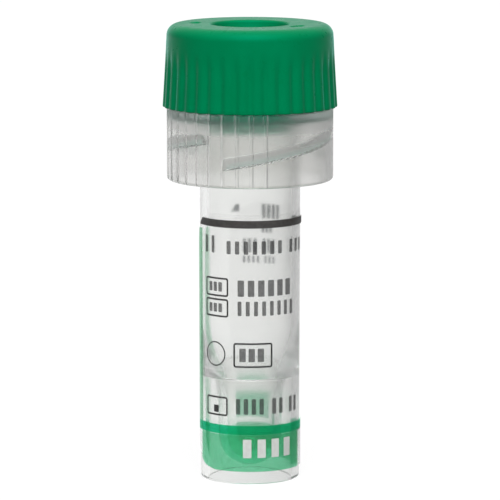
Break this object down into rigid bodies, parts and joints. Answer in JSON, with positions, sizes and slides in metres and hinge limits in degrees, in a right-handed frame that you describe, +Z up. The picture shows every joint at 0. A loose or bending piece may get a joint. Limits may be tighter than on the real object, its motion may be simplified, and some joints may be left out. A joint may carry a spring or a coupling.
{
  "type": "capillary blood collection tube",
  "caption": "Small clear tube with a round cup inside an open foot, a collar with an inner thread, a ribbed push-on cap with a hollow plug, and a clear wrap label.",
  "frame": {"origin": "middle of the ring that the tube stands on", "axes": "+Z up along the tube, -Y towards the printed front of the label, +X to its right"},
  "size_m": [0.0168, 0.0168, 0.044],
  "materials": {
    "tube_plastic": "clear moulded polypropylene, polished, slightly milky",
    "cap_plastic": "green moulded polyethylene, satin sheen",
    "label_film": "clear printed film with a green band and dark grey print"
  },
  "bodies": {
    "tube_body": {"tube": "tube_plastic", "label": "label_film"},
    "cap_body": {"cap": "cap_plastic"}
  },
  "joints": [
    {"name": "cap_lift", "type": "slide", "parent": "tube_body", "child": "cap_body", "axis": [0, 0, 1], "range_m": [0, 0.012]}
  ]
}
